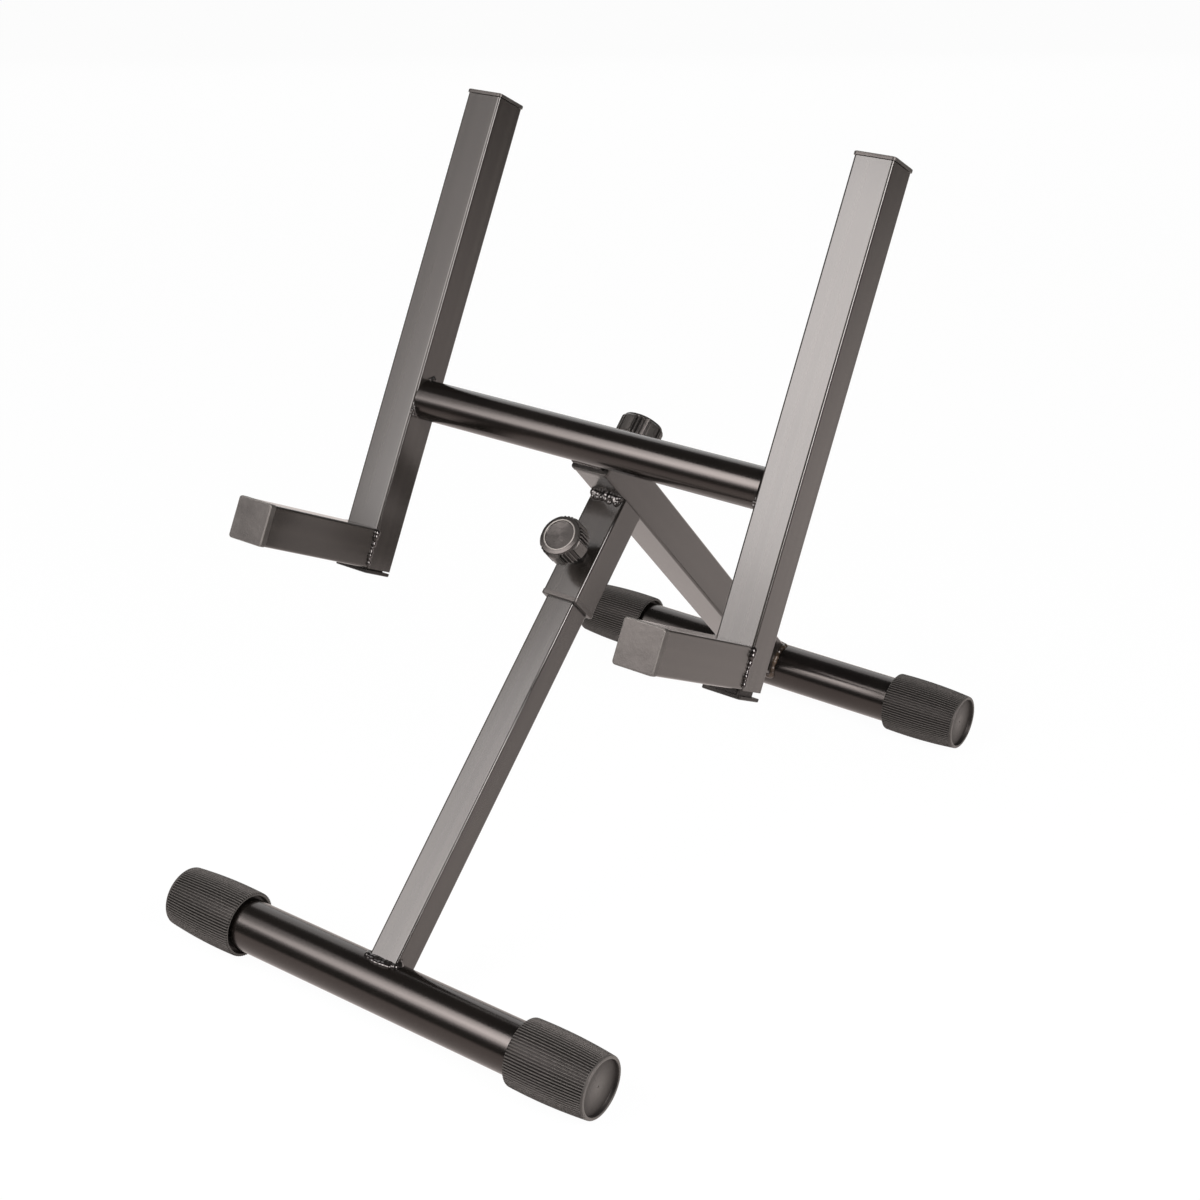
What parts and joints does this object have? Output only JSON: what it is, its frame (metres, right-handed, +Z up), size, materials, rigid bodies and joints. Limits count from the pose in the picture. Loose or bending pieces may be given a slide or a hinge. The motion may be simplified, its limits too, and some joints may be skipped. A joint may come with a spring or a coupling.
{
  "type": "tilting amplifier stand",
  "caption": "Low knock-down floor stand of black steel tube that holds an amplifier leaning back, with a telescoping leg and a cradle that slides up, each held by a clamp knob.",
  "frame": {"origin": "on the floor, halfway between the two floor bars, in the stand's plane of symmetry", "axes": "+Z up; +X to the right; -Y to the front, where the arms point"},
  "size_m": [0.373, 0.567, 0.5383],
  "materials": {
    "black_steel": "satin black powder coat on steel tube",
    "black_plastic": "matte moulded plastic",
    "zinc_steel": "bright zinc-plated steel"
  },
  "bodies": {
    "rear_frame": {"main_tube": "black_steel", "leg_sleeve": "black_steel", "rear_floor_bar": "black_steel", "rear_cap_left": "black_plastic", "rear_cap_right": "black_plastic", "main_bushing": "black_plastic", "sleeve_bushing": "black_plastic", "main_weld_nut": "black_steel", "sleeve_weld_nut": "black_steel", "rear_bar_weld": "black_steel", "sleeve_weld": "black_steel"},
    "front_leg": {"leg_tube": "black_steel", "front_floor_bar": "black_steel", "front_cap_left": "black_plastic", "front_cap_right": "black_plastic", "leg_weld": "black_steel"},
    "cradle": {"mast": "black_steel", "crossbar": "black_steel", "upright_left": "black_steel", "upright_right": "black_steel", "arm_left": "black_steel", "arm_right": "black_steel", "upright_cap_left": "black_plastic", "upright_cap_right": "black_plastic", "upright_plug_left": "black_plastic", "upright_plug_right": "black_plastic", "arm_cap_left": "black_plastic", "arm_cap_right": "black_plastic", "mast_weld": "black_steel", "crossbar_weld_left": "black_steel", "crossbar_weld_right": "black_steel", "arm_weld_left": "black_steel", "arm_weld_right": "black_steel"},
    "front_stud": {"front_screw": "zinc_steel"},
    "front_handwheel": {"front_knob": "black_plastic"},
    "rear_stud": {"rear_screw": "zinc_steel"},
    "rear_handwheel": {"rear_knob": "black_plastic"}
  },
  "joints": [
    {"name": "leg_slide", "type": "slide", "parent": "rear_frame", "child": "front_leg", "axis": [0, 0.7716, 0.6361], "range_m": [-0.02, 0.02]},
    {"name": "cradle_slide", "type": "slide", "parent": "rear_frame", "child": "cradle", "axis": [0, -0.6361, 0.7716], "range_m": [0, 0.18]},
    {"name": "front_stud_travel", "type": "slide", "parent": "rear_frame", "child": "front_stud", "axis": [0, -0.6361, 0.7716], "range_m": [0, 0.00375]},
    {"name": "front_knob_turn", "type": "hinge", "parent": "front_stud", "child": "front_handwheel", "pos_m": [0, -0.00151, 0.23676], "axis": [0, -0.6361, 0.7716], "range_deg": [0, 1080]},
    {"name": "rear_stud_travel", "type": "slide", "parent": "rear_frame", "child": "rear_stud", "axis": [0, 0.7716, 0.6361], "range_m": [0, 0.00375]},
    {"name": "rear_knob_turn", "type": "hinge", "parent": "rear_stud", "child": "rear_handwheel", "pos_m": [0, 0.03955, 0.29071], "axis": [0, 0.7716, 0.6361], "range_deg": [0, 1080]}
  ],
  "couplings": [
    {"joint": "front_knob_turn", "follows": "front_stud_travel", "rad_per_m": 5026.5},
    {"joint": "rear_knob_turn", "follows": "rear_stud_travel", "rad_per_m": 5026.5}
  ]
}
